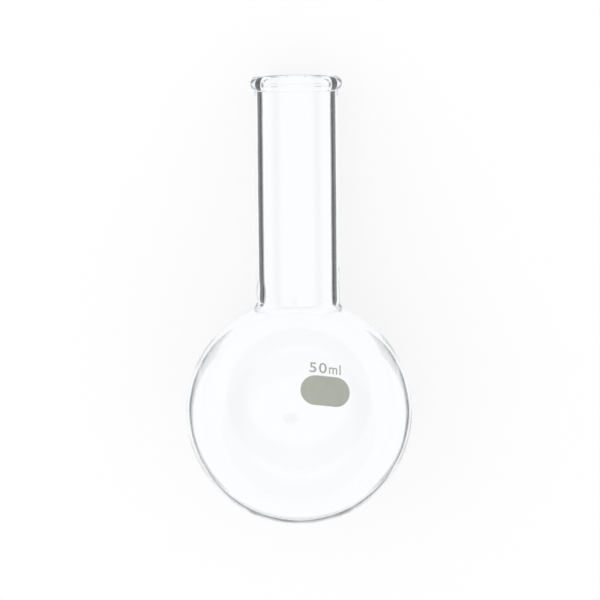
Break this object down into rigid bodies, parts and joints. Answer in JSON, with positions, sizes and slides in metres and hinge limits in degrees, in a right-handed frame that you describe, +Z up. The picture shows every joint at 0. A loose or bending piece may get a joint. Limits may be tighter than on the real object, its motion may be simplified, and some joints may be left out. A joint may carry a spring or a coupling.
{
  "type": "round-bottom flask",
  "caption": "Small round-bottom boiling flask in clear borosilicate glass, with a round bulb, a straight narrow neck and a beaded mouth.",
  "frame": {"origin": "on the table the flask lies on, under the middle of its length and width", "axes": "+Z up from the table, +Y towards the mouth; the flask lies on its bulb and its bead, so its own axis dips 12.0 degrees below +Y"},
  "size_m": [0.053, 0.1052, 0.053],
  "materials": {
    "clear_glass": "clear, fire polished",
    "marking_enamel": "grey fired-on enamel, matt"
  },
  "bodies": {
    "root": {"flask": "clear_glass"}
  },
  "joints": []
}
